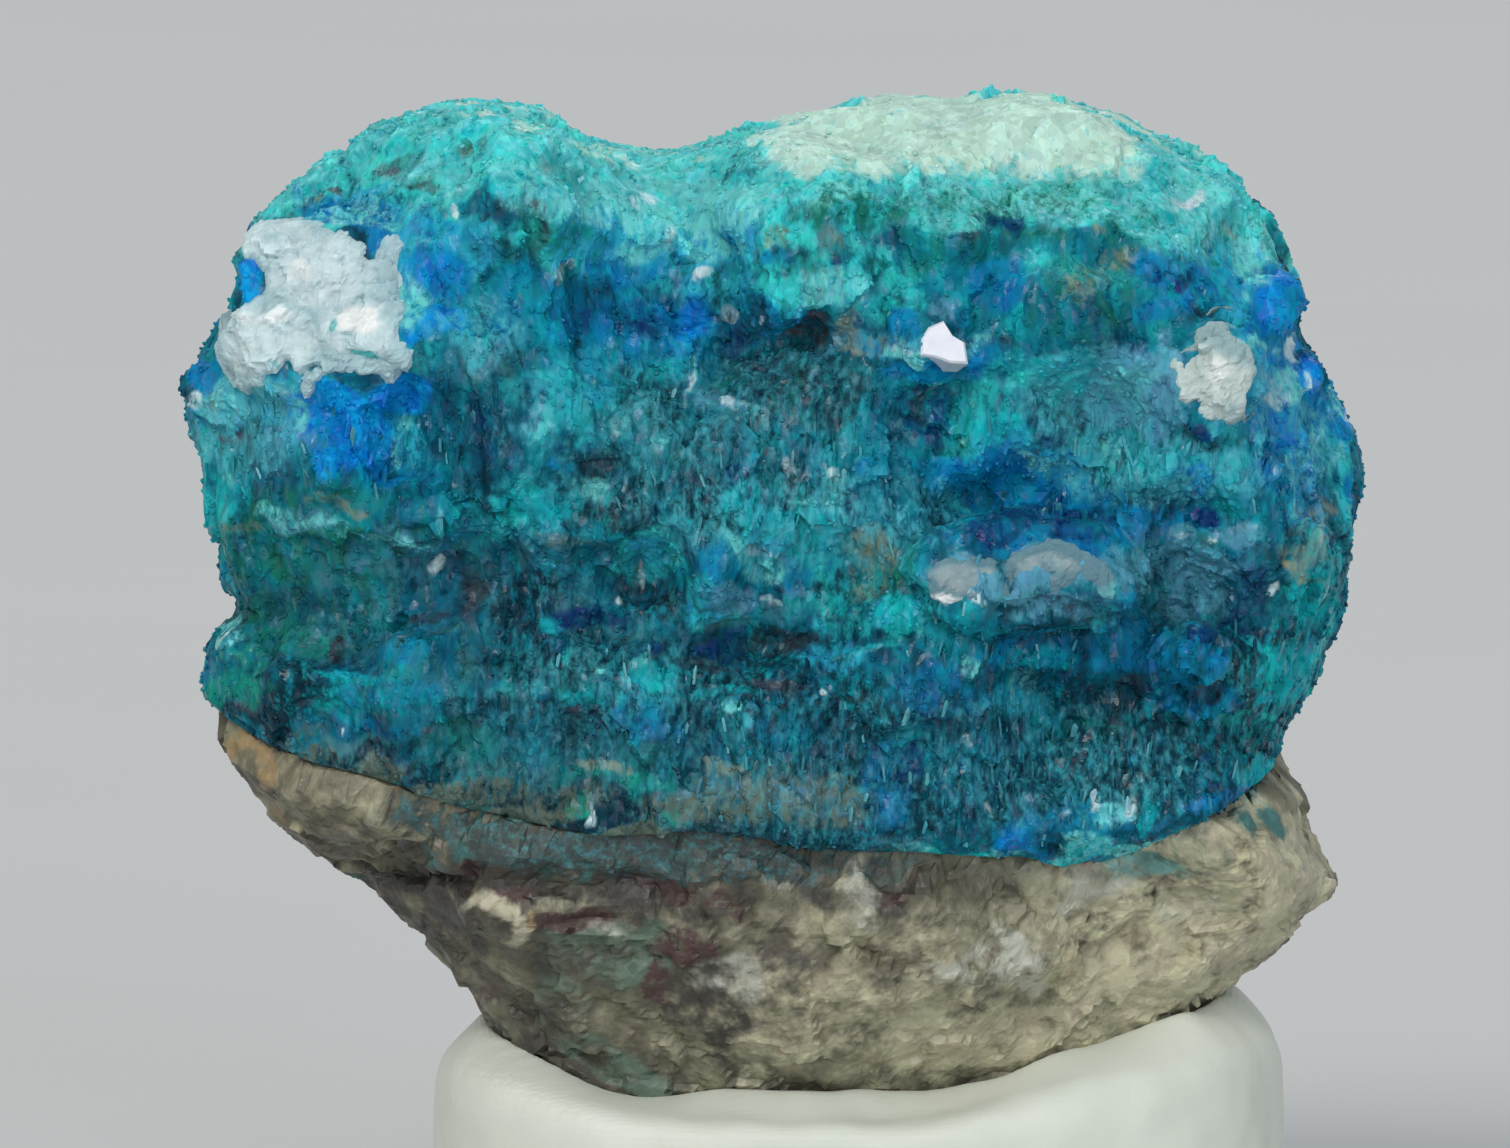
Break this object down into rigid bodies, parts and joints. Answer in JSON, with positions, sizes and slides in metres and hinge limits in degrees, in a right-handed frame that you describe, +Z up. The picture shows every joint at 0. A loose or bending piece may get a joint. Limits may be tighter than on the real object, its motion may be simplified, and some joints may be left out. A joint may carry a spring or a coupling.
{
  "type": "mineral specimen",
  "caption": "Blue papagoite crust on grey quartz with white feldspar masses, set upright in a lump of mounting putty with a flat foot.",
  "frame": {"origin": "middle of the putty's flat foot plane, under the middle of the whole specimen's box", "axes": "+Z up; the blue face looks towards -Y; +X to the viewer's right"},
  "size_m": [0.0218, 0.0122, 0.0214],
  "materials": {
    "papagoite": "granular, glints of small flat crystal faces",
    "quartz": "granular, slightly waxy",
    "albite": "chalky matte",
    "putty": "soft satin"
  },
  "bodies": {
    "root": {"papagoite_crust": "papagoite", "quartz_matrix": "quartz", "albite_mass_left": "albite", "albite_mass_right": "albite", "albite_mass_lower": "albite", "mounting_putty": "putty"}
  },
  "joints": []
}
